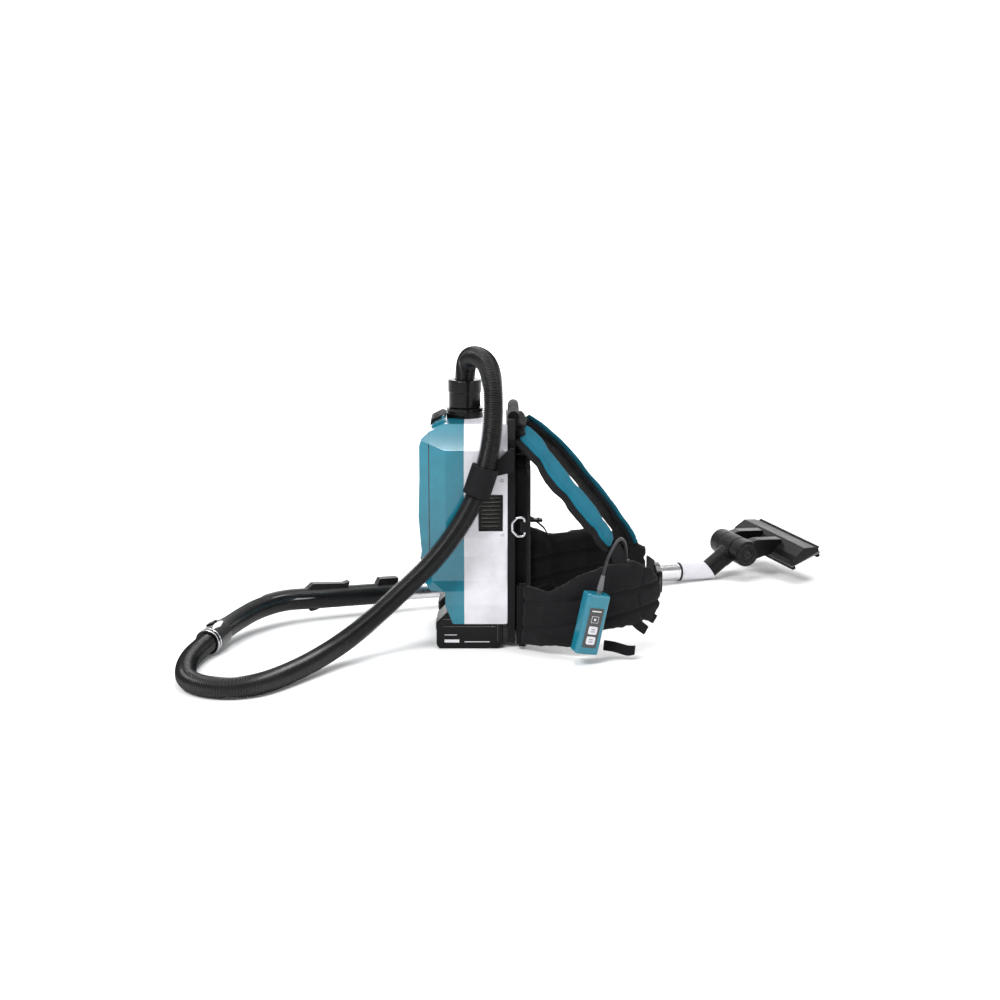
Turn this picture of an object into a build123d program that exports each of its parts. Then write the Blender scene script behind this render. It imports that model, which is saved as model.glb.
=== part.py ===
from build123d import *
import math
import os

# Backpack vacuum cleaner, in millimetres.  +Z is up, +X is the wearer's forward direction and the
# origin is on the floor under the hose inlet, midway between the two battery packs.

# ---- driving dimensions -------------------------------------------------------------------------
BODY_REAR = -77.0          # rearmost point of the dust cover
BODY_FRONT = 75.0          # face that carries the harness plate
BODY_HALF = 115.0          # half of the body's width
BODY_TOP = 394.0
BODY_BOTTOM = 45.0
WALL = 2.5
COVER_SPLIT = -60.0        # plane where the rear cover meets the housing
COVER_BOTTOM = 161.0
SHELL_SPLIT = 0.0          # plane where the rear and front housings meet
SHELF = 104.0              # floor of the dust chamber
BAY_TOP = 70.0             # ceiling of the battery bay

PACK_X = (-49.0, 67.0)
PACK_CENTRE_Y = 70.5
PACK_HALF = 37.5
PACK_TOP = 64.0

MOTOR_Z = 250.0
MOTOR_R = 42.0
FAN_R = 47.0
SHAFT_R = 3.92
SHAFT_BORE_R = 4.0

HOSE_R = 18.0
HOSE_BORE_TOP = 434.0      # the hose starts on this seat inside the cuff
CUFF_BOTTOM = 410.3
CUFF_TOP = 460.0

HINGE = (-73.0, 158.0)     # x and z of the rear cover's hinge axis
LATCH_HINGE = (-37.0, 397.3)

PLATE_X = (75.3, 88.0)
PAD_X = (88.0, 111.0)
GRIP = (85.5, 404.0)       # x and z of the carrying grip
GRIP_R = 10.0

TUBE_R = 17.5              # outer wand tube
INNER_TUBE_R = 16.0
HANDLE_R = 19.5
GAP = 0.3                  # clearance between curved faces that move on each other

HANDLE_END = Vector(-443, -155, 24)        # face where the hose meets the handle
HANDLE_DIR = Vector(0.3, 0.948, 0.1).normalized()
WAND_START = Vector(-58, 168, 36)
WAND_DIR = Vector(1, 0.414, -0.0305).normalized()
ELBOW_START = Vector(478, 389.9, 19.65)
BARREL = Vector(532, 412, 60)              # centre of the floor nozzle's pivot
ELBOW_DIR = (BARREL - ELBOW_START).normalized()
HEAD_PITCH = 20.0
HEAD_WIDTH = 228.0
HEAD_DEPTH = 72.0
HEAD_REACH = 100.0         # from the pivot to the middle of the head

CABLE_R = 2.5

os.makedirs("parts", exist_ok=True)
nodes = {}


# ---- helpers ------------------------------------------------------------------------------------
def keep(name, shape):
    """Record a node and write its STEP file."""
    solids = shape.solids()
    nodes[name] = solids[0] if len(solids) == 1 else Compound(solids)
    nodes[name].label = name
    export_step(nodes[name], f"parts/{name}.step")


def place(axis, u, v, level):
    """Turn a section point into a 3-D point in the plane across the given axis."""
    return {"X": (level, u, v), "Y": (u, level, v), "Z": (u, v, level)}[axis]


def prism(axis, low, high, points, corner=0.0, inset=0.0):
    """Solid of constant section between two levels along an axis."""
    corners = [place(axis, u, v, low) for u, v in points]
    if corner:
        wire = FilletPolyline(*corners, radius=corner, close=True)
    else:
        wire = Polyline(*corners, close=True)
    face = make_face(wire)
    if inset:
        face = offset(face, amount=-inset, kind=Kind.INTERSECTION)
    way = {"X": (1, 0, 0), "Y": (0, 1, 0), "Z": (0, 0, 1)}[axis]
    return extrude(face, amount=high - low, dir=way)


def block(x0, x1, y0, y1, z0, z1):
    """Box between six planes."""
    centre = Pos((x0 + x1) / 2, (y0 + y1) / 2, (z0 + z1) / 2)
    return centre * Box(x1 - x0, y1 - y0, z1 - z0)


def soft_block(x0, x1, y0, y1, z0, z1, round_all):
    """Box between six planes with every edge rounded."""
    body = block(x0, x1, y0, y1, z0, z1)
    return fillet(body.edges(), round_all)


def frame_at(origin, z_way, x_way=None):
    """Location whose +Z runs along z_way."""
    plane = Plane(origin=origin, z_dir=z_way) if x_way is None else Plane(origin, x_dir=x_way, z_dir=z_way)
    return plane.location


def rod(start, way, length, radius):
    """Cylinder from a point along a direction."""
    return frame_at(start, way) * Pos(0, 0, length / 2) * Cylinder(radius, length)


def rod_y(x, z, y0, y1, radius):
    return rod(Vector(x, y0, z), Vector(0, 1, 0), y1 - y0, radius)


def mirrored(shape):
    """The same piece on the other side of the body."""
    return mirror(shape, about=Plane.XZ)


def cord_radii(points):
    """Largest arc that each corner's two runs allow, 0.45 of the shorter run."""
    radii = []
    for before, corner, after in zip(points, points[1:], points[2:]):
        one = Vector(*corner) - Vector(*before)
        two = Vector(*after) - Vector(*corner)
        half_turn = math.radians(one.get_angle(two)) / 2
        radii.append(0.45 * min(one.length, two.length) / math.tan(half_turn))
    return radii


def tube_on(points, radius):
    """Round solid along straight runs joined by tangent arcs."""
    path = FilletPolyline(*points, radius=cord_radii(points))
    section = Plane(origin=path @ 0, z_dir=path % 0) * Circle(radius)
    return sweep(section, path=path), path.length


def band(stations, wide, thick_way, thickness):
    """Ruled solid through rectangles: each station is (centre, half width)."""
    wires = []
    normal = thick_way.normalized() * (thickness / 2)
    for centre, half in stations:
        middle = Vector(*centre)
        across = wide.normalized() * half
        ring = [middle - across - normal, middle + across - normal,
                middle + across + normal, middle - across + normal]
        wires.append(Wire.make_polygon(ring, close=True))
    return Solid.make_loft(wires, ruled=True)


# ---- outer form of the body ---------------------------------------------------------------------
PROFILE = [(BODY_FRONT, BODY_BOTTOM), (BODY_FRONT, BODY_TOP), (-34, BODY_TOP), (-60, 382), (-73, 371),
           (BODY_REAR, 359), (-77, 300), (-79, 235), (-75, 185), (-71, 150), (-68, 118), (-58, SHELF),
           (-33, SHELF), (-33, 80), (-20, BODY_BOTTOM)]
SECTION = [(80, 400), (BODY_HALF, 352), (BODY_HALF, 200), (107, 165), (108, 122), (114, 105),
           (114, 80), (108, 36)]
PLAN = [(90, -115), (90, 115), (-32, 115), (-81, 100.5), (-81, -100.5), (-32, -115)]


def body_form(inset=0.0):
    """The whole casing's outside, or the same form drawn in by the wall."""
    section = SECTION + [(-y, z) for y, z in reversed(SECTION)]
    side = prism("Y", -120, 120, PROFILE, corner=3.5, inset=inset)
    front = prism("X", -90, 90, section, corner=3.5, inset=inset)
    top = prism("Z", 0, 420, PLAN, corner=9, inset=inset)
    return side & front & top


outer = body_form()
inner = body_form(WALL)

inlet_box = block(-30, 24, -23, 23, 344, 392)
inlet_seat = Pos(0, 0, 400) * Cylinder(32.05, 26)
bay = block(-90, PACK_X[1] + 1, PACK_CENTRE_Y - 38.5, PACK_CENTRE_Y + 38.3, 0, BAY_TOP)
bays = bay + mirrored(bay)
vent_y = BODY_HALF
vent = block(26, 66, vent_y - 12, vent_y + 3, 213, 275)
vents = vent + mirrored(vent)

# ---- rear housing: the dust chamber ---------------------------------------------------------------
hinge_bands = [(40, 50, "lug"), (50.3, 73.7, "barrel"), (74, 84, "lug")]


def hinge_part(kind, radius):
    """Knuckles of one kind on both sides of the centre."""
    parts = [rod_y(HINGE[0], HINGE[1], a, b, radius) for a, b, which in hinge_bands if which == kind]
    row = Part() + parts
    return row + mirrored(row)


hinge_room = rod_y(*HINGE, 39.7, 84.3, 4.6) + mirrored(rod_y(*HINGE, 39.7, 84.3, 4.6))
pin_hole = rod_y(*HINGE, 39, 85, 1.55) + mirrored(rod_y(*HINGE, 39, 85, 1.55))

rear_room = outer & block(-90, SHELL_SPLIT, -130, 130, 0, 420)
cover_zone = block(-90, COVER_SPLIT, -130, 130, COVER_BOTTOM, 420)
chamber = inner & block(-90, -3, -130, 130, SHELF + WALL, 420)
low_room = inner & block(-30.5, -3, -130, 130, BAY_TOP + WALL, SHELF)
lug_webs = block(HINGE[0], -66, 40, 50, 155, 160) + block(HINGE[0], -66, 74, 84, 155, 160)
lug_webs = lug_webs + mirrored(lug_webs)
main_housing = rear_room - cover_zone - chamber - low_room - bays
main_housing = main_housing - hinge_room
main_housing = main_housing + hinge_part("lug", 4.0) + (lug_webs - rod_y(*HINGE, -90, 90, 3.9))
main_housing = main_housing - block(-31, 1, -23.4, 23.4, 343.6, 400) - inlet_seat
main_housing = main_housing - rod(Vector(-5, 0, MOTOR_Z), Vector(1, 0, 0), 8, 38)
main_housing = main_housing - pin_hole
latch_post = block(-41, -33, 34.4, 38, 390, 396.5) + rod_y(*LATCH_HINGE, 34.4, 38, 3.4)
latch_posts = (latch_post + mirrored(latch_post)) - inner - rod_y(*LATCH_HINGE, -40, 40, 1.52)
keep("main_housing", main_housing + latch_posts)

# ---- front housing: motor and electronics ---------------------------------------------------------
front_room = outer & block(SHELL_SPLIT, 90, -130, 130, 0, 420)
front_cavity = inner & block(-1, BODY_FRONT - WALL, -130, 130, BAY_TOP + WALL, 420)
front_housing = front_room - front_cavity - bays - vents
front_housing = front_housing - block(-1, 24.4, -23.4, 23.4, 343.6, 400) - inlet_seat
motor_seat = rod(Vector(58, 0, MOTOR_Z), Vector(1, 0, 0), 15, 49)
motor_seat = motor_seat - rod(Vector(57, 0, MOTOR_Z), Vector(1, 0, 0), 17, 46)
SCREW_PLACES = [(-60, 330), (60, 330), (-60, 190), (60, 190)]
SCREW_R = 2.0


def screw_row(shank, head):
    """Four screws whose heads bear on the inside of the wall and whose shanks enter the harness plate."""
    row = []
    for y, z in SCREW_PLACES:
        row.append(rod(Vector(BODY_FRONT - WALL - 3, y, z), Vector(1, 0, 0), 3, head))
        row.append(rod(Vector(BODY_FRONT - WALL, y, z), Vector(1, 0, 0), 9.5, shank))
    return Part() + row


posts = Part() + [rod(Vector(66, y, z), Vector(1, 0, 0), 7, 3) for y in (-50, 50) for z in (98, 150)]
front_housing = front_housing + motor_seat + posts - screw_row(SCREW_R + 0.05, SCREW_R + 0.05)
keep("front_housing", front_housing)

# ---- rear cover with its catch plate, hinge and seal ----------------------------------------------
cover_form = outer & block(-90, COVER_SPLIT - 0.3, -130, 130, COVER_BOTTOM + 0.3, 420)
cover_hollow = inner & block(-90, COVER_SPLIT + 1, -130, 130, COVER_BOTTOM + WALL, 420)
rear_cover = cover_form - cover_hollow - hinge_room
barrel_web = block(HINGE[0] - 3, -66, 50.3, 73.7, 158, 163.5)
barrel_web = barrel_web + mirrored(barrel_web)
rear_cover = rear_cover + hinge_part("barrel", 4.0) + barrel_web - pin_hole
catch_seat = prism("Y", -32, 32, [(-60.5, 374), (-60.5, 392), (-68, 386), (-80, 372), (-72, 362)])
catch_plate = (outer & catch_seat) - (body_form(1.2))
rear_cover = rear_cover - catch_plate
keep("rear_cover", rear_cover)
keep("catch_plate", catch_plate)

cover_pin = rod_y(*HINGE, 40, 84, 1.5)
keep("hinge_pins", cover_pin + mirrored(cover_pin) + rod_y(*LATCH_HINGE, -38, 38, 1.5))

seal_outer = inner & block(COVER_SPLIT - 3.5, COVER_SPLIT - 0.3, -130, 130, COVER_BOTTOM + WALL, 420)
seal_inner = body_form(WALL + 4) & block(-90, -50, -130, 130, COVER_BOTTOM + WALL + 5, 420)
keep("cover_gasket", seal_outer - seal_inner)

latch_outline = [(-34, 395.3), (-34, 399.8), (-40, 402), (-58.5, 393), (-59.4, 384.6), (-57, 385),
                 (-42, 392)]
latch = prism("Y", -34, 34, latch_outline)
latch_ears = rod_y(*LATCH_HINGE, -34, 34, 3.6)
latch = latch + latch_ears - rod_y(*LATCH_HINGE, -40, 40, 1.55)
keep("cover_latch", latch)
# ---- inlet, cuff and hose ---------------------------------------------------------------------------
inlet_ring = Pos(0, 0, 399) * Cylinder(32, 22) + inlet_box - Pos(0, 0, 370) * Cylinder(17.2, 100)
inlet_ring = inlet_ring + block(-30, 24, -23, 23, 344, 348)
inlet_ring = inlet_ring - rod(Vector(0, 0, 366), Vector(-1, 0, 0), 31, 15.5)
inlet_ring = inlet_ring - Pos(0, 0, 402.5) * (Cylinder(33, 3) - Cylinder(30.4, 3))
keep("inlet_ring", inlet_ring)

cuff_low = Pos(0, 0, CUFF_BOTTOM) * Cylinder(28.2, 30, align=(Align.CENTER, Align.CENTER, Align.MIN))
cuff_low = fillet(cuff_low.edges().filter_by(GeomType.CIRCLE).sort_by(Axis.Z)[0], 3.0)
cuff_high = Pos(0, 0, CUFF_TOP - 11.5) * Cylinder(29.5, 23)
cuff_high = fillet(cuff_high.edges().filter_by(GeomType.CIRCLE), 2.5)
cuff = cuff_low + cuff_high
cuff = cuff + Pos(0, 0, 401) * Cylinder(16.9, 20)
cuff = cuff - Pos(0, 0, 420) * Cylinder(13.5, 100)
cuff = cuff - Pos(0, 0, (HOSE_BORE_TOP + 470) / 2) * Cylinder(HOSE_R + 0.4, 470 - HOSE_BORE_TOP)
keep("hose_cuff", cuff)

HOSE_ROUTE = [
    (0, 0, 434), (0, 0, 478), (9, -25, 506), (36, -92, 508), (49, -124, 482), (52, -136, 428),
    (47, -139, 366), (30, -141, 300), (0, -143, 236), (-46, -147, 172), (-104, -153, 116),
    (-160, -170, 66), (-214, -210, 32), (-270, -296, 19.5), (-322, -374, 18.5), (-368, -396, 18.4),
    (-415, -386, 18.4), (-446, -350, 18.4), (-457, -300, 18.6), (-460, -247, 19.5),
    (-455.008, -192.945, 19.997), (-443, -155, 24),
]
hose, hose_length = tube_on(HOSE_ROUTE, HOSE_R)
keep("hose", hose)

# The holder grips the hose in a C-shaped clip and is screwed to the harness plate.
clip_low, clip_high = Vector(21.4, -141.5, 281), Vector(37.4, -140.2, 329)
clip_way = (clip_high - clip_low).normalized()
clip_frame = frame_at(clip_low, clip_way)
CLIP_BORE_R = HOSE_R + 1.8
clip = rod(clip_low, clip_way, (clip_high - clip_low).length, CLIP_BORE_R + 4)
clip = clip - rod(clip_low - clip_way * 30, clip_way, 120, CLIP_BORE_R)
arm = prism("Y", -127, -118, [(44, 306), (44, 338), (62, 340), (79, 358), (86, 358), (86, 318), (60, 312)])
arm = arm - rod(clip_low - clip_way * 30, clip_way, 120, CLIP_BORE_R)
arm = arm + block(76, 86, -118, -112.4, 318, 358)
keep("hose_holder", clip + arm)

# ---- inside the casing ------------------------------------------------------------------------------
grille_plate = block(26.3, 65.7, 106, 113.2, 213.3, 274.7)
slots = Part() + [block(30, 62, 100, 120, 218 + 7 * i, 221.5 + 7 * i) for i in range(8)]
grille = grille_plate - slots
keep("exhaust_grilles", grille + mirrored(grille))

exhaust_filter = block(28, 64, 98, 105.5, 215, 273)
keep("exhaust_filters", exhaust_filter + mirrored(exhaust_filter))

collar_plate = block(-33, -30.2, -45, 45, 326, 386)
collar_plate = collar_plate - rod(Vector(-34, 0, 366), Vector(1, 0, 0), 6, 15.5)
keep("bag_collar", collar_plate)
keep("dust_bag", soft_block(-57.5, -33.2, -88, 88, 128, 388, 9) & body_form(5))

filter_frame = block(-16, -3.1, -58, 58, 196, 304)
keep("motor_filter", filter_frame)

motor_can = rod(Vector(24, 0, MOTOR_Z), Vector(1, 0, 0), 40, MOTOR_R)
motor_can = motor_can - rod(Vector(26.5, 0, MOTOR_Z), Vector(1, 0, 0), 35, MOTOR_R - 2.5)
motor_can = motor_can + rod(Vector(24, 0, MOTOR_Z), Vector(1, 0, 0), 12, 11)
motor_can = motor_can + rod(Vector(52, 0, MOTOR_Z), Vector(1, 0, 0), 12, 11)
motor_can = motor_can - rod(Vector(20, 0, MOTOR_Z), Vector(1, 0, 0), 50, SHAFT_BORE_R)
keep("motor_can", motor_can)

mount_ring = rod(Vector(59, 0, MOTOR_Z), Vector(1, 0, 0), 9, 46)
mount_ring = mount_ring - rod(Vector(50, 0, MOTOR_Z), Vector(1, 0, 0), 15, MOTOR_R)
mount_ring = mount_ring + rod(Vector(64, 0, MOTOR_Z), Vector(1, 0, 0), 4, 30)
mount_ring = mount_ring - rod(Vector(60, 0, MOTOR_Z), Vector(1, 0, 0), 10, 12)
keep("motor_mount", mount_ring)

BLADES = 9
fan = rod(Vector(20.5, 0, MOTOR_Z), Vector(1, 0, 0), 2, FAN_R)
fan = fan + rod(Vector(7, 0, MOTOR_Z), Vector(1, 0, 0), 15, 9)
for i in range(BLADES):
    blade = block(9, 21, 8.5, FAN_R - 1, -1, 1)
    fan = fan + Pos(0, 0, MOTOR_Z) * Rot(i * 360 / BLADES, 0, 0) * blade
fan = fan + rod(Vector(20, 0, MOTOR_Z), Vector(1, 0, 0), 43, SHAFT_R)
keep("fan_rotor", fan)

board = block(64.4, 66, -56, 56, 92, 156) + block(58, 64.4, -40, -18, 110, 140)
board = board + block(60, 64.4, 0, 30, 100, 118) + block(54, 64.4, 36, 48, 126, 146)
keep("control_board", board)

rails = block(-12, 60, PACK_CENTRE_Y - 20, PACK_CENTRE_Y + 20, 64.5, BAY_TOP)
rails = rails - block(-13, 40, PACK_CENTRE_Y - 8, PACK_CENTRE_Y + 8, 64, 68)
keep("battery_rails", rails + mirrored(rails))

# ---- battery packs ------------------------------------------------------------------------------------
PACK_OUTLINE = [(PACK_X[0], 7), (-44, 0), (58, 0), (PACK_X[1], 9), (PACK_X[1], PACK_TOP), (-32, PACK_TOP),
                (PACK_X[0], 47)]
pack = prism("Y", PACK_CENTRE_Y - PACK_HALF, PACK_CENTRE_Y + PACK_HALF, PACK_OUTLINE, corner=3)
pack = fillet(pack.edges().filter_by(GeomType.LINE).filter_by(Axis.X).group_by(Axis.Z)[0], 2.5)
button_pocket = block(-60, -43, PACK_CENTRE_Y - 14, PACK_CENTRE_Y + 14, 20, 44)
pack = pack - (button_pocket & block(-60, -44, 0, 120, 22, 43))
button = block(-50.5, -44.2, PACK_CENTRE_Y - 13.6, PACK_CENTRE_Y + 13.6, 27, 42.6)
button = fillet(button.edges().filter_by(Axis.Z), 1.5)
keep("battery_pack_far", pack)
keep("battery_pack_near", mirrored(pack))
keep("battery_button_far", button)
keep("battery_button_near", mirrored(button))

keep("plate_screws", screw_row(SCREW_R, 4.0))

# ---- harness ----------------------------------------------------------------------------------------
plate_face = [(-112, 24), (-98, 8), (98, 8), (112, 24), (112, 372), (88, 402), (64, 402), (57, 372),
              (-57, 372), (-64, 402), (-88, 402), (-112, 372)]
back_plate = prism("X", PLATE_X[0], PLATE_X[1], plate_face, corner=4) - rod_y(*GRIP, -70, 70, GRIP_R + 0.05)
keep("back_plate", back_plate - screw_row(SCREW_R, SCREW_R))

pad_face = [(-96, 22), (-84, 6), (84, 6), (96, 22), (96, 318), (74, 345), (-74, 345), (-96, 318)]
keep("back_pad", prism("X", PAD_X[0] + 0.1, PAD_X[1], pad_face, corner=10))

keep("carry_handle", fillet(rod_y(*GRIP, -70, 70, GRIP_R).edges().filter_by(GeomType.CIRCLE), 2))

NEAR_STRAP = [((101, -58, 376), 30), ((128, -75, 352), 31), ((155, -93, 316), 31), ((187, -113, 280), 31),
              ((220, -128, 242), 30), ((242, -136, 212), 25), ((252, -139, 197), 18)]
near_wide, near_thick = Vector(0.25, 0.88, 0.32), Vector(0.76, 0.1, 0.64)
keep("shoulder_strap_near", band(NEAR_STRAP, near_wide, near_thick, 12))

FAR_STRAP = [((103, 56, 380), 30), ((149, 70, 343), 31), ((193, 80, 293), 31), ((235, 86, 240), 31),
             ((275, 88, 187), 30), ((298, 88, 153), 24), ((305, 88, 141), 18)]
far_wide, far_thick = Vector(0.25, -0.88, 0.32), Vector(0.76, -0.1, 0.64)
keep("shoulder_strap_far", band(FAR_STRAP, far_wide, far_thick, 12))


def pad_along(stations, thickness):
    """Waist pad: each station is x, y, low z, high z; thickness is square to the run in plan."""
    wires = []
    for index, (x, y, low, high) in enumerate(stations):
        before = stations[max(index - 1, 0)]
        after = stations[min(index + 1, len(stations) - 1)]
        run = Vector(after[0] - before[0], after[1] - before[1], 0).normalized()
        side = Vector(-run.Y, run.X, 0) * (thickness / 2)
        low_point, high_point = Vector(x, y, low), Vector(x, y, high)
        ring = [low_point - side, low_point + side, high_point + side, high_point - side]
        wires.append(Wire.make_polygon(ring, close=True))
    return Solid.make_loft(wires, ruled=True)


NEAR_PAD = [(101, -111, 6, 118), (140, -146, 12, 120), (183, -166, 14, 146), (213, -168, 28, 158),
            (249, -163, 44, 170), (293, -148, 50, 175), (322, -128, 56, 156), (337, -106, 84, 126)]
FAR_PAD = [(101, 111, 40, 176), (153, 136, 36, 160), (222, 150, 40, 166), (270, 146, 46, 162),
           (310, 132, 52, 154), (332, 112, 74, 130)]
waist_pads = {"waist_pad_near": pad_along(NEAR_PAD, 18), "waist_pad_far": pad_along(FAR_PAD, 18)}
for name, pad in waist_pads.items():
    keep(name, pad)

near_web = pad_along([(337.7, -105, 92, 116), (342, -84, 92, 116), (344, -62, 92, 116),
                      (344, -38, 92, 116)], 2.4)
far_web = pad_along([(332.9, 111.1, 92, 116), (340, 88, 92, 116), (344, 64, 92, 116),
                     (344, 14, 92, 116)], 2.4)
near_drop = band([((256.5, -138.5, 190.5), 12), ((264, -145, 166), 12), ((266, -146.5, 128), 12)],
                 Vector(0.9, 0.35, 0.25), Vector(-0.35, 0.93, -0.1), 2.4)
far_drop = band([((308.5, 88.5, 130), 12), ((311, 106, 112), 12), ((312, 117, 88), 12)],
                Vector(1, -0.3, 0), Vector(0.1, 0.7, 0.7), 2.4)

female = soft_block(338.5, 349.5, -48, 0, 84, 124, 4)
female = female - block(341, 347, -60, -34, 91, 117) - block(341, 347, -26, 10, 86.5, 121.5)
male = soft_block(338.5, 349.5, 0.5, 26, 84, 124, 3)
male = male + block(341.5, 346.5, -22, 4, 87, 90.5) + block(341.5, 346.5, -22, 4, 117.5, 121)
male = male - block(342, 346, -30, 40, 91, 117)
keep("buckle_socket", female)
keep("buckle_prongs", male)

ring_path = [(104, 0, 203.5), (104, 0, 236.5), (92, 0, 236.5), (83, 0, 227), (83, 0, 213), (92, 0, 203.5)]


def d_ring(y):
    """D-shaped steel ring whose straight bar stands in the webbing tab."""
    corners = [(x, y, z) for x, _, z in ring_path]
    wire = FilletPolyline(*corners, radius=5.5, close=True)
    start = wire @ 0
    section = Plane(origin=start, z_dir=wire % 0) * Circle(2.0)
    return sweep(section, path=wire)


keep("d_ring_near", d_ring(-117.5))
keep("d_ring_far", d_ring(117.5))

tab = block(99, 112, -121.5, -113.2, 209, 231) - rod(Vector(104, -117.5, 205), Vector(0, 0, 1), 30, 2.3)
tab = tab + block(100, 112, -113.2, -96.1, 211, 229)
d_ring_tabs = tab + mirrored(tab)

ladder = soft_block(112, 138, -9, 9, -3, 3, 2) - block(117, 121, -6, 6, -8, 8) - block(128, 132, -6, 6, -8, 8)
keep("strap_adjusters", Pos(2, 96, 186) * ladder)
ladder_leads = block(111.3, 122, 90, 102, 189.1, 190.5)
ladder_leads = ladder_leads + band([((131, 98, 178.6), 6), ((141, 108, 173), 6), ((148, 119, 160), 6)],
                                   Vector(-0.6, 0.8, 0.4), Vector(0.5, -0.1, 0.86), 1.4)

tail = band([((240, -165, 23), 9), ((258, -172, 22), 9), ((280, -177, 17), 9), ((293, -178, 18), 8)],
            Vector(0.1, 0.35, 1), Vector(0.1, 1, -0.35), 2.0)
webbing = near_web + far_web + near_drop + far_drop + d_ring_tabs + tail + ladder_leads
keep("webbing", webbing - list(waist_pads.values()))

# ---- remote control -----------------------------------------------------------------------------------
REMOTE_PLACE = Pos(215, -202, 73) * Rot(0, 12, 0) * Rot(0, 0, 22)
REMOTE_SIZE = (43.0, 27.0, 106.0)
shell = Box(*REMOTE_SIZE)
shell = fillet(shell.edges().filter_by(Axis.Z), 6)
shell = fillet(shell.edges().group_by(Axis.Z)[0] + shell.edges().group_by(Axis.Z)[-1], 3.5)
face_y = -REMOTE_SIZE[1] / 2
panel_hole = block(-13, 13, face_y - 1, face_y + 2, -40, 30)
shell = shell - panel_hole - Pos(5, 3, 52) * Cylinder(4.2, 12)
button_spots = {"remote_power_button": -27.0, "remote_speed_button": -9.0}
wells = Part() + [block(-8.2, 8.2, face_y - 2, face_y + 6, z - 7.2, z + 7.2) for z in button_spots.values()]
keep("remote_housing", REMOTE_PLACE * (shell - wells))
panel = block(-12.9, 12.9, face_y - 0.4, face_y + 1.9, -39.9, 29.9) - wells
keep("remote_panel", REMOTE_PLACE * panel)
for name, z in button_spots.items():
    cap = block(-8, 8, face_y - 1.8, face_y + 3, z - 7, z + 7)
    cap = fillet(cap.edges().filter_by(Axis.Y), 2.5)
    keep(name, REMOTE_PLACE * cap)
sleeve = Pos(5, 3, 46) * Cylinder(4.2, 12, align=(Align.CENTER, Align.CENTER, Align.MIN))
sleeve = sleeve + Pos(5, 3, 58) * Cone(5.5, 3.4, 26, align=(Align.CENTER, Align.CENTER, Align.MIN))

CABLE_ROUTE = [
    (235.9, -197.345, 154.434), (241.1, -197.345, 178.898), (249, -193.5, 195), (257, -184, 207),
    (265, -170, 212), (271, -155, 208), (276, -143, 197), (279, -134, 183), (279, -135, 167),
]
cable, cable_length = tube_on(CABLE_ROUTE, CABLE_R)
keep("remote_cable", cable)
grommet_way = (Vector(*CABLE_ROUTE[-1]) - Vector(*CABLE_ROUTE[-2])).normalized()
grommet = rod(Vector(*CABLE_ROUTE[-1]), grommet_way, 5, 5)
keep("cable_sleeves", REMOTE_PLACE * sleeve + grommet)


# ---- wand ---------------------------------------------------------------------------------------------
def wand_at(x):
    """Point of the wand's straight axis at a given x."""
    return WAND_START + WAND_DIR * ((x - WAND_START.X) / WAND_DIR.X)


def wand_tube(x0, x1, radius, bore):
    length = (wand_at(x1) - wand_at(x0)).length
    outside = rod(wand_at(x0), WAND_DIR, length, radius)
    return outside - rod(wand_at(x0) - WAND_DIR, WAND_DIR, length + 2, bore)


UP = (Vector(0, 0, 1) - WAND_DIR * WAND_DIR.Z).normalized()
SIDE = UP.cross(WAND_DIR)


def on_wand(x, along, up, side, half_width):
    """Raised feature on the wand: outline points are (along, up) from the axis at x."""
    base = wand_at(x) - SIDE * half_width
    corners = [base + WAND_DIR * a + UP * u for a, u in zip(along, up)]
    return extrude(make_face(Polyline(*corners, close=True)), amount=2 * half_width, dir=SIDE)


handle_frame = frame_at(HANDLE_END, HANDLE_DIR, HANDLE_DIR.cross(Vector(0, 0, 1)))
collar = Pos(0, 0, 7.05) * Cylinder(22, 13.9)
collar = fillet(collar.edges().filter_by(GeomType.CIRCLE), 2)
collar = collar + Pos(0, 0, 20) * Cylinder(16.9, 12) - Pos(0, 0, 13) * Cylinder(13.5, 40)
keep("hose_swivel", handle_frame * collar)

sleeve_window = block(-40, -8, -7.5, 7.5, 22, 50)
air_sleeve = Pos(0, 0, 35.2) * Cylinder(22.2, 41.8)
air_sleeve = fillet(air_sleeve.edges().filter_by(GeomType.CIRCLE), 1.5)
air_sleeve = air_sleeve - Pos(0, 0, 20) * Cylinder(17.2, 14) - Pos(0, 0, 45) * Cylinder(HANDLE_R, 36)
AIR_ROT = Rot(0, 0, 65)
keep("air_sleeve", handle_frame * (air_sleeve - AIR_ROT * sleeve_window))
slider = AIR_ROT * (block(-24, -HANDLE_R - 0.3, -7.2, 7.2, 34, 49.6))
keep("air_slider", handle_frame * slider)

handle_start = HANDLE_END + HANDLE_DIR * 27
HANDLE_ROUTE = [handle_start, HANDLE_END + HANDLE_DIR * 92, Vector(-378, 1, 43), Vector(-334, 47, 47),
                wand_at(-276), wand_at(-125)]
grip_points = [tuple(point) for point in HANDLE_ROUTE]
handle, _ = tube_on(grip_points, HANDLE_R)
bore, _ = tube_on(grip_points, INNER_TUBE_R + 0.02)
hook = on_wand(-300, (0, 18, 78, 88, 84, 0), (14, 29, 26, 29, 14, 8), 0, 8)
chin = on_wand(-300, (6, 14, 24, 40), (-14, -23, -21, -14), 0, 7)
saddle = on_wand(-172, (0, 8, 44, 44, 0), (12, 30, 30, 12, 8), 0, 9)
keep("wand_handle", handle + hook + chin + saddle - bore)

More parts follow.
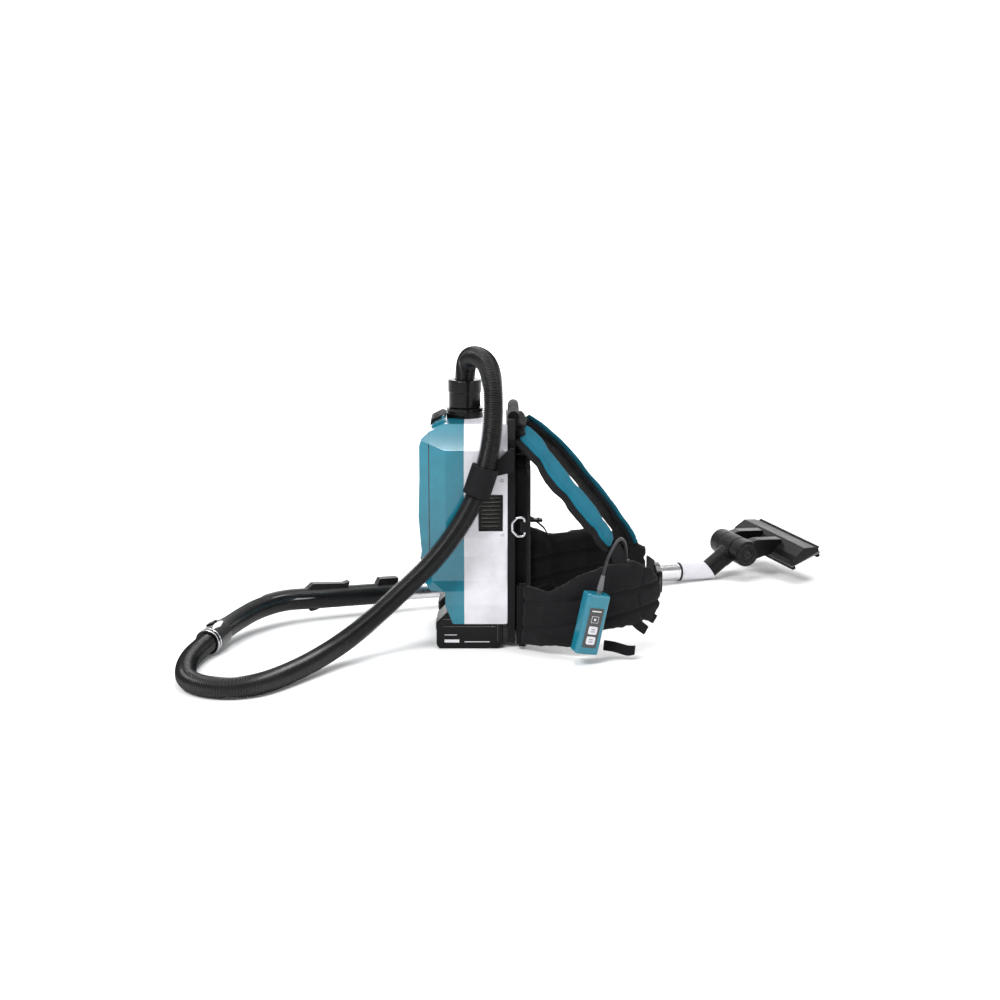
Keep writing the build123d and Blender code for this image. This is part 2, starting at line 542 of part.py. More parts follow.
keep("inner_tube", wand_tube(-190, 190, INNER_TUBE_R, 14.8))
keep("outer_tube", wand_tube(-20, 418, TUBE_R, INNER_TUBE_R + GAP))
lock = wand_tube(-24, 34, 21.5, TUBE_R) - wand_tube(-30, -19.9, TUBE_R + 0.1, 1)
lock_well = on_wand(-10, (0, 22, 22, 0), (15, 15, 30, 30), 0, 7)
lock = wand_tube(-24, 34, 21.5, TUBE_R) - lock_well
keep("tube_lock", lock)
lock_button = on_wand(-10, (4, 17.8, 17.8, 4), (18, 18, 24.5, 24.5), 0, 6.6)
keep("tube_lock_button", lock_button)

white = wand_tube(418, 512, 18.6, INNER_TUBE_R) - (wand_tube(418, 421, 19, 18.1))
beyond = rod(ELBOW_START, ELBOW_DIR, 90, 60)
keep("nozzle_sleeve", white - beyond)
elbow_length = (BARREL - ELBOW_START).length
elbow = rod(ELBOW_START, ELBOW_DIR, elbow_length - 34, 18.9)
elbow = elbow + rod(ELBOW_START, ELBOW_DIR, elbow_length - 13, 15.9)
elbow = elbow - rod(ELBOW_START - ELBOW_DIR, ELBOW_DIR, elbow_length, 13)
keep("nozzle_elbow", elbow)

# ---- floor nozzle -------------------------------------------------------------------------------------
wide_guess = Vector(0.5, -0.866, 0)
WIDE = (wide_guess - ELBOW_DIR * wide_guess.dot(ELBOW_DIR)).normalized()
LEVEL = Vector(-WIDE.Y, WIDE.X, 0).normalized()
RISE = LEVEL.cross(WIDE * -1)
pitch = math.radians(HEAD_PITCH)
FRONT = LEVEL * math.cos(pitch) + RISE * math.sin(pitch)
HEAD_UP = RISE * math.cos(pitch) - LEVEL * math.sin(pitch)
HEAD = BARREL + LEVEL * HEAD_REACH - RISE * 6
head_frame = Plane(origin=HEAD, x_dir=FRONT, z_dir=HEAD_UP).location
pivot_frame = Plane(origin=BARREL, x_dir=FRONT, z_dir=HEAD_UP).location
BARREL_R = 26.0

yoke = pivot_frame * Rot(90, 0, 0) * Cylinder(BARREL_R, 40)
yoke = yoke + rod(BARREL, ELBOW_DIR * -1, 33.7, 20)
yoke = yoke - rod(BARREL - ELBOW_DIR * 40, ELBOW_DIR, 28, 15.95)
yoke = yoke - pivot_frame * Rot(90, 0, 0) * Cylinder(4.05, 60)
keep("nozzle_yoke", yoke)

keep("pivot_pin", pivot_frame * Rot(90, 0, 0) * Cylinder(4, 96))

half_w, half_d = HEAD_WIDTH / 2, HEAD_DEPTH / 2
cheek = Rot(90, 0, 0) * Cylinder(BARREL_R, 32)
cheek = fillet(cheek.edges().filter_by(GeomType.CIRCLE), 4)
arm_outline = [(-4, -20), (-4, 20), (34, 14), (84, -8), (84, -25), (60, -30), (34, -24)]
arm = prism("Y", 24, 44, arm_outline)
cheeks = Pos(0, 36.5, 0) * cheek + arm
cheeks = cheeks + mirrored(cheeks)
cheeks = cheeks - Rot(90, 0, 0) * Cylinder(BARREL_R + 0.4, 40.6) - Rot(90, 0, 0) * Cylinder(4, 96)
head_outline = [(-half_d, 4), (-half_d, 10), (-22, 20), (2, 27), (24, 18), (half_d, 10), (half_d, 4)]
head = prism("Y", -half_w, half_w, head_outline)
head_plan = [(-half_d, -half_w), (-half_d, half_w), (-20, half_w), (half_d, half_w - 6), (half_d, 6 - half_w),
             (-20, -half_w)]
head = head & prism("Z", 0, 40, head_plan, corner=6)
to_head = head_frame.inverse() * pivot_frame
head = head + (to_head * cheeks)
mouth = half_w - 28
head = head - block(-12, 12, -mouth, mouth, -1, 14)
shroud = to_head * (Rot(90, 0, 0) * Cylinder(BARREL_R + 1.2, 41.2))
head = head - (shroud & block(-200, 200, -20.6, 20.6, -200, 200))
keep("nozzle_head", head_frame * head)

sole = block(-34, 34, 4 - half_w, half_w - 4, 0.5, 4) - block(-12, 12, -mouth, mouth, 0, 5)
keep("nozzle_sole", head_frame * sole)
strip_end = half_w - 6
strip = block(26, 33, -strip_end, strip_end, -7, 0.5) + block(-33, -26, -strip_end, strip_end, -7, 0.5)
notches = Part() + [block(20, 40, y, y + 7, -8, -2) for y in range(-98, 98, 20)]
keep("nozzle_bristles", head_frame * (strip - notches))

# ---- what was built -------------------------------------------------------------------------------------
for name, route, radius, length, solid in (("hose", HOSE_ROUTE, HOSE_R, hose_length, hose),
                                           ("remote_cable", CABLE_ROUTE, CABLE_R, cable_length, cable)):
    radii = cord_radii(route)
    print(name, "length", round(length, 1), "least radius", round(min(radii), 1),
          "volume ratio", round(solid.volume / (math.pi * radius ** 2 * length), 4))
    print("  radii", [round(value) for value in radii])
print("nodes", len(nodes))
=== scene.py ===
import math

import bmesh
import bpy
from mathutils import Matrix, Vector


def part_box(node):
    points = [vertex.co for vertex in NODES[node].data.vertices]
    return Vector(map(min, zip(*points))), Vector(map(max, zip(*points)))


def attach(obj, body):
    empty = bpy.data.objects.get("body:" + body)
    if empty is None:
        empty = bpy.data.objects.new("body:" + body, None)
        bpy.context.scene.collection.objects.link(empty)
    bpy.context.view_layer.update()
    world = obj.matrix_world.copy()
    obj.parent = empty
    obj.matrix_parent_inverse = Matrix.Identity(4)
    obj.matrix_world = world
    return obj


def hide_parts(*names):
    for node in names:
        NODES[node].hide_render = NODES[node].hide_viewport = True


# Backpack vacuum cleaner: fabric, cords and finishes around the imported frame.  Lengths written in
# millimetres go through mm(); everything else is in metres.

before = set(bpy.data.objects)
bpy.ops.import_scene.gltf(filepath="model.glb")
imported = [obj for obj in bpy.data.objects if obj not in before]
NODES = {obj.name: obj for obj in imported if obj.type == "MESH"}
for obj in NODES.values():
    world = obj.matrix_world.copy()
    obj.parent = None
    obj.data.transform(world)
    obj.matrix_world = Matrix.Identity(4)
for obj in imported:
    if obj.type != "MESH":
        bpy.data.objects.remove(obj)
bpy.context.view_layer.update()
ROOT = "vacuum_body"
MM = 0.001


def mm(*values):
    return Vector(values) * MM


# ---- camera ------------------------------------------------------------
LENS = 68.58
SENSOR_WIDTH = 36
CLIP_END = 50
CAMERA_PLACE = (0.062, -3.315, 0.9356)
CAMERA_TILT = math.radians(78.2)

camera_data = bpy.data.cameras.new("camera")
camera_data.lens = LENS
camera_data.sensor_width = SENSOR_WIDTH
camera_data.clip_end = CLIP_END
camera = bpy.data.objects.new("camera", camera_data)
camera.location = CAMERA_PLACE
camera.rotation_euler = (CAMERA_TILT, 0, 0)
bpy.context.scene.collection.objects.link(camera)
bpy.context.scene.camera = camera


# ---- shared geometry helpers ------------------------------------------------------------
CURVE_STEPS = 24
NURBS_ORDER = 3


def show(name, data):
    thing = bpy.data.objects.new(name, data)
    bpy.context.scene.collection.objects.link(thing)
    return thing


def spline(name, route):
    """NURBS curve object whose control points are the route, in millimetres."""
    data = bpy.data.curves.new(name, "CURVE")
    data.dimensions = "3D"
    data.resolution_u = CURVE_STEPS
    line = data.splines.new("NURBS")
    line.points.add(len(route) - 1)
    for point, place in zip(line.points, route):
        point.co = (*mm(*place), 1)
    line.order_u = NURBS_ORDER
    line.use_endpoint_u = True
    return show(name, data)


def points_on(curve):
    """The points that the curve itself runs through."""
    depsgraph = bpy.context.evaluated_depsgraph_get()
    mesh = bpy.data.meshes.new_from_object(curve.evaluated_get(depsgraph))
    points = [vertex.co.copy() for vertex in mesh.vertices]
    bpy.data.meshes.remove(mesh)
    return points


def resample(points, step):
    """Points spaced evenly along a polyline."""
    spans = [(b - a).length for a, b in zip(points, points[1:])]
    total = sum(spans)
    count = max(2, round(total / step)) + 1
    out, index, walked = [], 0, 0.0
    for i in range(count):
        target = total * i / (count - 1)
        while index < len(spans) - 1 and walked + spans[index] < target:
            walked += spans[index]
            index += 1
        share = (target - walked) / spans[index] if spans[index] else 0
        out.append(points[index].lerp(points[index + 1], min(1, share)))
    return out


def through(values, count):
    """Values spaced along a smooth curve through the given vectors."""
    last = len(values) - 1
    out = []
    for i in range(count):
        t = last * i / (count - 1)
        k = min(int(t), last - 1)
        u = t - k
        a, b, c, d = (values[max(0, min(last, k + j))] for j in (-1, 0, 1, 2))
        out.append(0.5 * (2 * b + (c - a) * u + (2 * a - 5 * b + 4 * c - d) * u ** 2
                          + (3 * b - a - 3 * c + d) * u ** 3))
    return out


def smooth_faces(mesh):
    for polygon in mesh.polygons:
        polygon.use_smooth = True


def loft(name, rings):
    """Closed mesh through rings of equal point counts."""
    size = len(rings[0])
    corners = [point for ring in rings for point in ring]
    faces = [(a * size + b, a * size + (b + 1) % size, (a + 1) * size + (b + 1) % size, (a + 1) * size + b)
             for a in range(len(rings) - 1)
             for b in range(size)]
    faces.append(tuple(reversed(range(size))))
    faces.append(tuple(range(len(corners) - size, len(corners))))
    mesh = bpy.data.meshes.new(name)
    mesh.from_pydata(corners, [], faces)
    mesh.validate()
    smooth_faces(mesh)
    return show(name, mesh)


def tube(name, path, radius, sides=24):
    """Round tube along a path; radius is a number or a function of the distance walked."""
    rings, walked = [], 0.0
    way = (path[1] - path[0]).normalized()
    across = way.orthogonal().normalized()
    for i, point in enumerate(path):
        ahead, behind = path[min(i + 1, len(path) - 1)], path[max(i - 1, 0)]
        way = (ahead - behind).normalized()
        across = (across - way * across.dot(way)).normalized()
        other = way.cross(across)
        if i:
            walked += (point - path[i - 1]).length
        size = radius(walked) if callable(radius) else radius
        turn = [2 * math.pi * k / sides for k in range(sides)]
        rings.append([point + (across * math.cos(t) + other * math.sin(t)) * size for t in turn])
    return loft(name, rings)


def pillow(half_width, half_thick, power, sides=40):
    """Rounded flat section as (across, through) pairs."""
    out = []
    for k in range(sides):
        t = 2 * math.pi * k / sides
        c, s = math.cos(t), math.sin(t)
        out.append((half_width * math.copysign(abs(c) ** (2 / power), c),
                    half_thick * math.copysign(abs(s) ** (2 / power), s)))
    return out


# ---- cords ------------------------------------------------------------
HOSE_R = 0.018
HOSE_SIDES = 40
RIB_PITCH = 0.0038
RIB_DEPTH = 0.0026
RIB_STEPS = 5
GROOVE_POWER = 0.7
CABLE_R = 0.0025
HOSE_ROUTE = [
    (0, 0, 434), (0, 0, 478), (9, -25, 506), (36, -92, 508), (49, -124, 482), (52, -136, 428),
    (47, -139, 366), (30, -141, 300), (0, -143, 236), (-46, -147, 172), (-104, -153, 116),
    (-160, -170, 66), (-214, -210, 32), (-270, -296, 19.5), (-322, -374, 18.5), (-368, -396, 18.4),
    (-415, -386, 18.4), (-446, -350, 18.4), (-457, -300, 18.6), (-460, -247, 19.5),
    (-455.008, -192.945, 19.997), (-443, -155, 24),
]
CABLE_ROUTE = [
    (235.9, -197.345, 154.434), (241.1, -197.345, 178.898), (249, -193.5, 195), (257, -184, 207),
    (265, -170, 212), (271, -155, 208), (276, -143, 197), (279, -134, 183), (279, -135, 167),
]

hose_line = spline("hose_line", HOSE_ROUTE)
hose_points = points_on(hose_line)
bpy.data.objects.remove(hose_line)


def rib_radius(walked):
    """Radius of the corrugated wall: a round crest and a narrower groove in each pitch."""
    phase = walked / RIB_PITCH
    return HOSE_R - RIB_DEPTH * (0.5 - 0.5 * math.cos(2 * math.pi * phase)) ** GROOVE_POWER


hose_piece = tube("hose_ribbed", resample(hose_points, RIB_PITCH / RIB_STEPS), rib_radius, HOSE_SIDES)
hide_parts("hose")
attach(hose_piece, ROOT)

cable_piece = spline("control_cable", CABLE_ROUTE)
# Blender's bounds of a curve grow by each point's radius, so the radius carries the cable's real size.
cable_piece.data.bevel_depth = 1.0
for point in cable_piece.data.splines[0].points:
    point.radius = CABLE_R
cable_piece.data.bevel_resolution = 6
cable_piece.data.use_fill_caps = True
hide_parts("remote_cable")
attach(cable_piece, ROOT)


# ---- materials ------------------------------------------------------------
DUST_COLOUR = (0.55, 0.54, 0.52, 1)
LINT_COLOUR = (0.35, 0.35, 0.35, 1)
COAT_ROUGH = 0.08
GRAIN_HEIGHT = 0.0004
GRAIN_STRENGTH = 0.35
WEAVE_HEIGHT = 0.0008
CLOTH_SPECULAR = 0.12
SHEEN_ROUGH = 0.5
WAVE_PERIOD = 0.3142    # a wave texture of scale 1 repeats at this distance, in metres


class Shader:
    """A procedural material on the Principled shader, in object coordinates."""

    def __init__(self, name):
        self.material = bpy.data.materials.new(name)
        self.material.use_nodes = True
        self.tree = self.material.node_tree
        self.bsdf = self.tree.nodes["Principled BSDF"]
        self.coords = self.tree.nodes.new("ShaderNodeTexCoord").outputs["Object"]

    def node(self, kind, links=(), **settings):
        made = self.tree.nodes.new(kind)
        for key, value in settings.items():
            setattr(made, key, value)
        for key, value in dict(links).items():
            if isinstance(value, bpy.types.NodeSocket):
                self.tree.links.new(value, made.inputs[key])
            else:
                made.inputs[key].default_value = value
        return made

    def stretched(self, scale, turn=(0, 0, 0)):
        links = {"Vector": self.coords, "Scale": scale, "Rotation": turn}
        return self.node("ShaderNodeMapping", links).outputs[0]

    def noise(self, scale, detail=4, where=None, rough=0.55):
        links = {"Vector": where or self.coords, "Scale": scale, "Detail": detail, "Roughness": rough}
        return self.node("ShaderNodeTexNoise", links).outputs["Fac"]

    def span(self, value, low, high, to_low=0.0, to_high=1.0):
        links = {"Value": value, "From Min": low, "From Max": high, "To Min": to_low, "To Max": to_high}
        return self.node("ShaderNodeMapRange", links, clamp=True).outputs[0]

    def sum(self, operation, a, b):
        return self.node("ShaderNodeMath", {0: a, 1: b}, operation=operation).outputs[0]

    def mix(self, share, a, b):
        links = {0: share, 6: a, 7: b}
        return self.node("ShaderNodeMix", links, data_type="RGBA").outputs[2]

    def feed(self, name, value):
        if isinstance(value, bpy.types.NodeSocket):
            self.tree.links.new(value, self.bsdf.inputs[name])
        else:
            self.bsdf.inputs[name].default_value = value


def shade(colour, factor):
    return (*[min(1.0, c * factor) for c in colour[:3]], 1)


def srgb(*levels):
    """Linear colour of an 8-bit display colour."""
    return tuple(((v / 255 + 0.055) / 1.055) ** 2.4 if v > 10 else v / 3294.6
                 for v in levels)


def hard(name, colour, rough=0.35, metal=0.0, coat=0.0, grain=0.12, grain_scale=1500.0, wear=0.35,
         dust=0.05, round_edge=0.0009, brushed=None, specular=0.4):
    """Plastic, paint or metal: mottled colour, worn edges, dust on top, smears in the gloss, fine grain."""
    s = Shader(name)
    patches = s.noise(28, 5)
    base = s.mix(s.span(patches, 0.3, 0.7), shade(colour, 0.9), shade(colour, 1.1))
    bevel = s.node("ShaderNodeBevel", {"Radius": round_edge}, samples=4).outputs[0]
    geometry = s.node("ShaderNodeNewGeometry")
    facing = s.node("ShaderNodeVectorMath", {0: bevel, 1: geometry.outputs["Normal"]},
                    operation="DOT_PRODUCT").outputs["Value"]
    edge = s.span(facing, 0.999, 0.93)
    scuffed = s.sum("MULTIPLY", edge, s.span(s.noise(160, 6), 0.42, 0.62, 0, wear))
    pale = tuple(c * 0.6 + 0.22 for c in colour[:3])
    base = s.mix(scuffed, base, (*pale, 1))
    height = s.node("ShaderNodeSeparateXYZ", {0: geometry.outputs["Normal"]}).outputs[2]
    settled = s.sum("MULTIPLY", s.span(height, 0.35, 0.95), s.span(s.noise(420, 7), 0.45, 0.75, 0, dust))
    base = s.mix(settled, base, DUST_COLOUR)
    s.feed("Base Color", base)
    smears = s.span(s.noise(9, 6, s.stretched((1, 2.2, 0.7))), 0.3, 0.72, rough * 0.75, rough * 1.3)
    hairs = s.span(s.noise(70, 2, s.stretched((1, 12, 60), (0.3, 0.5, 0.2))), 0.66, 0.74, 0, 0.10)
    gloss = s.sum("ADD", s.sum("ADD", smears, hairs), s.sum("MULTIPLY", settled, 0.8))
    s.feed("Roughness", s.span(gloss, 0, 1))
    s.feed("Metallic", metal)
    s.feed("Coat Weight", coat)
    s.feed("Coat Roughness", COAT_ROUGH)
    s.feed("Specular IOR Level", specular)
    texture = s.noise(grain_scale, 2, s.stretched(brushed) if brushed else None)
    wobble = s.noise(55, 2)
    relief = s.sum("ADD", s.sum("MULTIPLY", texture, grain), s.sum("MULTIPLY", wobble, 0.15))
    bump = s.node("ShaderNodeBump", {"Height": relief, "Strength": GRAIN_STRENGTH, "Distance": GRAIN_HEIGHT,
                                     "Normal": bevel})
    s.feed("Normal", bump.outputs[0])
    return s.material


def cloth(name, colour, pitch=0.0014, rough=0.85, sheen=0.04, knit=False, depth=0.5, mottle=0.16):
    """Woven or knitted fabric whose threads are pitch apart."""
    s = Shader(name)
    if knit:
        cells = s.node("ShaderNodeTexVoronoi", {"Vector": s.coords, "Scale": 1 / pitch, "Randomness": 0.25},
                       feature="F1").outputs["Distance"]
        threads = s.span(cells, 0.15, 0.6, 1, 0)
    else:
        links = {"Vector": s.coords, "Scale": WAVE_PERIOD / pitch, "Distortion": 0.6, "Detail": 1.0,
                 "Detail Scale": 2.0}
        along_x, along_y, along_z = (
            s.node("ShaderNodeTexWave", links, wave_type="BANDS", bands_direction=axis).outputs["Fac"]
            for axis in ("X", "Y", "Z"))
        threads = s.sum("MAXIMUM", s.sum("MULTIPLY", along_x, along_z), s.sum("MULTIPLY", along_y, along_z))
    fade = s.span(s.noise(24, 5), 0.3, 0.7)
    base = s.mix(fade, shade(colour, 1 - mottle), shade(colour, 1 + mottle))
    base = s.mix(s.span(threads, 0, 1, 0.45, 0), base, shade(colour, 0.45))
    lint = s.span(s.noise(900, 3, s.stretched((1, 1, 0.25), (0.4, 0.9, 0.1))), 0.72, 0.78, 0, 0.12)
    base = s.mix(lint, base, LINT_COLOUR)
    s.feed("Base Color", base)
    s.feed("Roughness", s.span(s.noise(40, 4), 0.2, 0.8, rough - 0.12, rough + 0.1))
    s.feed("Sheen Weight", sheen)
    s.feed("Sheen Roughness", SHEEN_ROUGH)
    s.feed("Specular IOR Level", CLOTH_SPECULAR)
    folds = s.sum("MULTIPLY", s.noise(45, 4), 1.6)
    bump = s.node("ShaderNodeBump", {"Height": s.sum("ADD", s.sum("MULTIPLY", threads, 0.6), folds),
                                     "Strength": depth, "Distance": WEAVE_HEIGHT})
    s.feed("Normal", bump.outputs[0])
    return s.material


TEAL = srgb(8, 108, 128)
WHITE = srgb(204, 203, 209)
BLACK = srgb(14, 14, 15)
SILVER = srgb(206, 205, 208)

LOOK = {
    "teal": hard("teal_shell", TEAL, rough=0.22, coat=0.8, grain=0.04, wear=0.2, specular=0.2),
    "white": hard("white_shell", WHITE, rough=0.30, coat=0.2, grain=0.06, wear=0.12, dust=0.08),
    "black": hard("black_moulding", BLACK, rough=0.32, grain=0.3, grain_scale=1100, specular=0.15),
    "satin": hard("satin_moulding", srgb(11, 11, 12), rough=0.22, coat=0.12, grain=0.08, wear=0.2,
                  specular=0.2),
    "mark": hard("printed_mark", srgb(205, 206, 210), rough=0.35, grain=0.1, wear=0.1),
    "matt": hard("matt_moulding", srgb(20, 20, 22), rough=0.6, grain=0.3, wear=0.1, specular=0.12),
    "grip": hard("textured_grip", srgb(17, 17, 18), rough=0.62, grain=0.9, grain_scale=700,
                 specular=0.12),
    "gloss": hard("dark_gloss", srgb(12, 12, 14), rough=0.10, coat=0.8, grain=0.03, wear=0.2),
    "grey": hard("grey_moulding", srgb(96, 96, 99), rough=0.45, grain=0.3),
    "steel": hard("steel_part", srgb(190, 190, 194), rough=0.28, metal=1.0, wear=0.1, brushed=(1, 1, 14)),
    "chrome": hard("chrome_trim", srgb(226, 226, 229), rough=0.08, metal=1.0, wear=0.0, grain=0.02),
    "tube": hard("wand_metal", SILVER, rough=0.24, metal=1.0, wear=0.05, grain=0.25, brushed=(1, 22, 22)),
    "motor": hard("motor_case", srgb(96, 98, 104), rough=0.4, metal=1.0),
    "rubber": hard("rubber_part", srgb(25, 25, 26), rough=0.7, grain=0.5, wear=0.1),
    "hose": hard("hose_plastic", srgb(15, 15, 16), rough=0.26, grain=0.15, wear=0.0, dust=0.03,
                 round_edge=0.0002, specular=0.35),
    "cable": hard("cable_jacket", srgb(38, 38, 40), rough=0.5, grain=0.2, wear=0.0, round_edge=0.0002),
    "board": hard("circuit_board", srgb(24, 92, 50), rough=0.4),
    "filter": cloth("pleated_filter", srgb(226, 224, 214), pitch=0.003),
    "fleece": cloth("bag_fleece", srgb(216, 213, 200), pitch=0.002, knit=True),
    "bristle": cloth("bristle_strip", srgb(18, 18, 19), pitch=0.0009, depth=0.9),
    "pad": cloth("padded_fabric", srgb(24, 24, 26), pitch=0.0016),
    "mesh": cloth("spacer_mesh", srgb(19, 19, 21), pitch=0.0022, knit=True, depth=0.8),
    "teal_cloth": cloth("teal_fabric", srgb(22, 104, 126), pitch=0.0015, mottle=0.1),
    "web": cloth("webbing_weave", srgb(21, 21, 23), pitch=0.0020, sheen=0.08, depth=0.7),
    "thread": cloth("stitch_thread", srgb(70, 70, 74), pitch=0.0006),
}

NODE_LOOK = {
    "teal": ["main_housing", "rear_cover", "remote_housing"],
    "white": ["front_housing", "nozzle_sleeve", "remote_power_button", "remote_speed_button"],
    "satin": ["inlet_ring", "hose_cuff", "air_sleeve", "hose_swivel"],
    "matt": ["cover_latch", "hose_holder", "back_plate"],
    "black": ["exhaust_grilles", "battery_pack_near", "battery_pack_far", "buckle_socket", "buckle_prongs",
              "strap_adjusters", "wand_handle", "tube_lock", "nozzle_elbow", "nozzle_yoke", "nozzle_head",
              "air_slider"],
    "grip": ["carry_handle"],
    "gloss": ["catch_plate", "remote_panel"],
    "grey": ["battery_button_near", "battery_button_far", "bag_collar", "battery_rails", "cable_sleeves",
             "fan_rotor", "tube_lock_button", "nozzle_sole"],
    "steel": ["hinge_pins", "plate_screws", "pivot_pin", "d_ring_near", "d_ring_far"],
    "tube": ["inner_tube", "outer_tube"],
    "motor": ["motor_can"],
    "rubber": ["motor_mount", "cover_gasket"],
    "board": ["control_board"],
    "filter": ["exhaust_filters", "motor_filter"],
    "fleece": ["dust_bag"],
    "bristle": ["nozzle_bristles"],
}


def paint(thing, look):
    thing.data.materials.clear()
    thing.data.materials.append(LOOK[look])


for look, names in NODE_LOOK.items():
    for name in names:
        paint(NODES[name], look)
paint(hose_piece, "hose")
paint(cable_piece, "cable")


def fit(thing, body, look):
    """Paint a piece and let it ride on a body."""
    paint(thing, look)
    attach(thing, body)
    return thing


# ---- padded fabric ------------------------------------------------------------
VOXEL = 0.005
PRESSURE = 4.0
FRAMES = 20
TENSION = 15
BENDING = 0.6
BACK_SHRINK = (0.0012, 0.004, 0.004)
BACK_CAP = 0.006
BACK_SEAMS = (-64, -32, 0, 32, 64)
WAIST_SHRINK = (0.0035, 0.0035, 0.0035)
WAIST_CAP = 0.007


def inflate(thing, cap):
    """Puff a closed mesh up as cloth under pressure, capping how far each point may move."""
    remesh = thing.modifiers.new("remesh", "REMESH")
    remesh.mode = "VOXEL"
    remesh.voxel_size = VOXEL
    remesh.use_smooth_shade = True
    settle(thing)
    start = [vertex.co.copy() for vertex in thing.data.vertices]
    sim = thing.modifiers.new("cloth", "CLOTH")
    sim.settings.quality = 5
    sim.settings.use_pressure = True
    sim.settings.uniform_pressure_force = PRESSURE
    sim.settings.effector_weights.gravity = 0
    sim.settings.tension_stiffness = TENSION
    sim.settings.bending_stiffness = BENDING
    sim.collision_settings.use_self_collision = False
    scene = bpy.context.scene
    for number in range(1, FRAMES + 1):
        scene.frame_set(number)
    settle(thing)
    scene.frame_set(1)
    for vertex, home in zip(thing.data.vertices, start):
        move = vertex.co - home
        if move.length > cap:
            vertex.co = home + move.normalized() * cap
    smooth = thing.modifiers.new("smooth", "SUBSURF")
    smooth.levels = 1
    smooth.render_levels = 1
    settle(thing)


def settle(thing):
    """Apply every modifier to the mesh."""
    depsgraph = bpy.context.evaluated_depsgraph_get()
    done = bpy.data.meshes.new_from_object(thing.evaluated_get(depsgraph))
    old = thing.data
    thing.modifiers.clear()
    thing.data = done
    bpy.data.meshes.remove(old)
    smooth_faces(done)


def pad_from(node, shrink, cap):
    """Fabric pad grown inside the space of a CAD soft solid."""
    mesh = NODES[node].data.copy()
    thing = show(node + "_fabric", mesh)
    thing.matrix_world = NODES[node].matrix_world.copy()
    low, high = (Vector(corner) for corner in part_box(node))
    middle = (low + high) / 2
    size = high - low
    factor = Vector([1 - 2 * inset / side for inset, side in zip(shrink, size)])
    for vertex in mesh.vertices:
        vertex.co = Vector([m + (c - m) * f for c, m, f in zip(vertex.co, middle, factor)])
    inflate(thing, cap)
    return thing


def press(thing, seams):
    """Press sewn channels into a pad: each seam gives (distance from it, depth, width) at a point."""
    thing.data.update()
    moves = []
    for vertex in thing.data.vertices:
        push = 0.0
        for seam in seams:
            away, depth, width = seam(vertex.co)
            push = max(push, depth * math.exp(-(away / width) ** 2))
        moves.append(vertex.normal * -push)
    for vertex, move in zip(thing.data.vertices, moves):
        vertex.co += move


def channel(axis, level, depth, width):
    """Straight seam where one coordinate has a given level."""
    return lambda point: (abs(point[axis] - level), depth, width)


def climbing(low, high, start, climb, depth, width):
    """Seam along a waist pad, at a share of its height that rises from start towards the front."""
    def seam(point):
        share = (point.x - low.x) / (high.x - low.x)
        level = low.z + (high.z - low.z) * (start + climb * share)
        return abs(point.z - level), depth, width

    return seam


def bent(front, level, depth, width):
    """Upright seam near a waist pad's front end, bent forward above and below a level."""
    return lambda point: (abs(front - point.x + 0.25 * abs(point.z - level)), depth, width)


back_pad = pad_from("back_pad", BACK_SHRINK, BACK_CAP)
lines = [channel(1, y * MM, 0.0035, 0.0035) for y in BACK_SEAMS]
lines.append(channel(2, 0.318, 0.0025, 0.003))
press(back_pad, lines)
fit(back_pad, ROOT, "mesh")
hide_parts("back_pad")

for node in ("waist_pad_near", "waist_pad_far"):
    pad = pad_from(node, WAIST_SHRINK, WAIST_CAP)
    low, high = (Vector(corner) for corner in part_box(node))
    press(pad, [climbing(low, high, 0.50, 0.22, 0.0045, 0.0045),
                climbing(low, high, 0.22, 0.30, 0.0035, 0.004),
                bent(high.x - 0.046, 0.105, 0.003, 0.003)])
    fit(pad, ROOT, "pad")
    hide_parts(node)


# ---- shoulder straps ------------------------------------------------------------
GATHER = 0.20
GATHERS = 4.0
STRAP_POWER = 2.8
EDGE_INSET = 0.985
STITCH_HALF_WIDTH = 0.00045
STITCH_HEIGHT = 0.0004
STITCH_SHARE = 0.62
STITCH_PITCH = 0.0045


def strap(name, stations, wide, thick, half_thick, spread=(0.96, 0.96), drop=0.0, phase=0.0, count=90):
    """Padded strap lofted along its stations: spread is how far it reaches to each edge, and drop sets
    it towards the wearer.  Its edges gather in and out along its length, as the sewn foam does."""
    wide = Vector(wide).normalized()
    thick = Vector(thick).normalized()
    path = through([Vector((*mm(*centre), half * MM)) for centre, half in stations], count)
    rings, edges = [], ([], [])
    for i, value in enumerate(path):
        wave = 0.5 + 0.5 * math.cos(GATHERS * 2 * math.pi * i / count + phase)
        half = value.w * (1 - GATHER * wave ** 3)
        end = min(i, count - 1 - i) / 5
        swell = min(1.0, 0.4 + 0.6 * math.sqrt(min(1, end)))
        plump = 1 + 0.10 * math.sin(i * 0.42 + phase) + 0.05 * math.sin(i * 1.1)
        centre = value.to_3d() - thick * drop + wide * half * (spread[0] - spread[1]) / 2
        reach = half * (spread[0] + spread[1]) / 2
        section = pillow(reach, half_thick * swell * plump, STRAP_POWER)
        rings.append([centre + wide * u + thick * v for u, v in section])
        edges[0].append(centre + wide * reach * EDGE_INSET)
        edges[1].append(centre - wide * reach * EDGE_INSET)
    return loft(name, rings), edges, thick


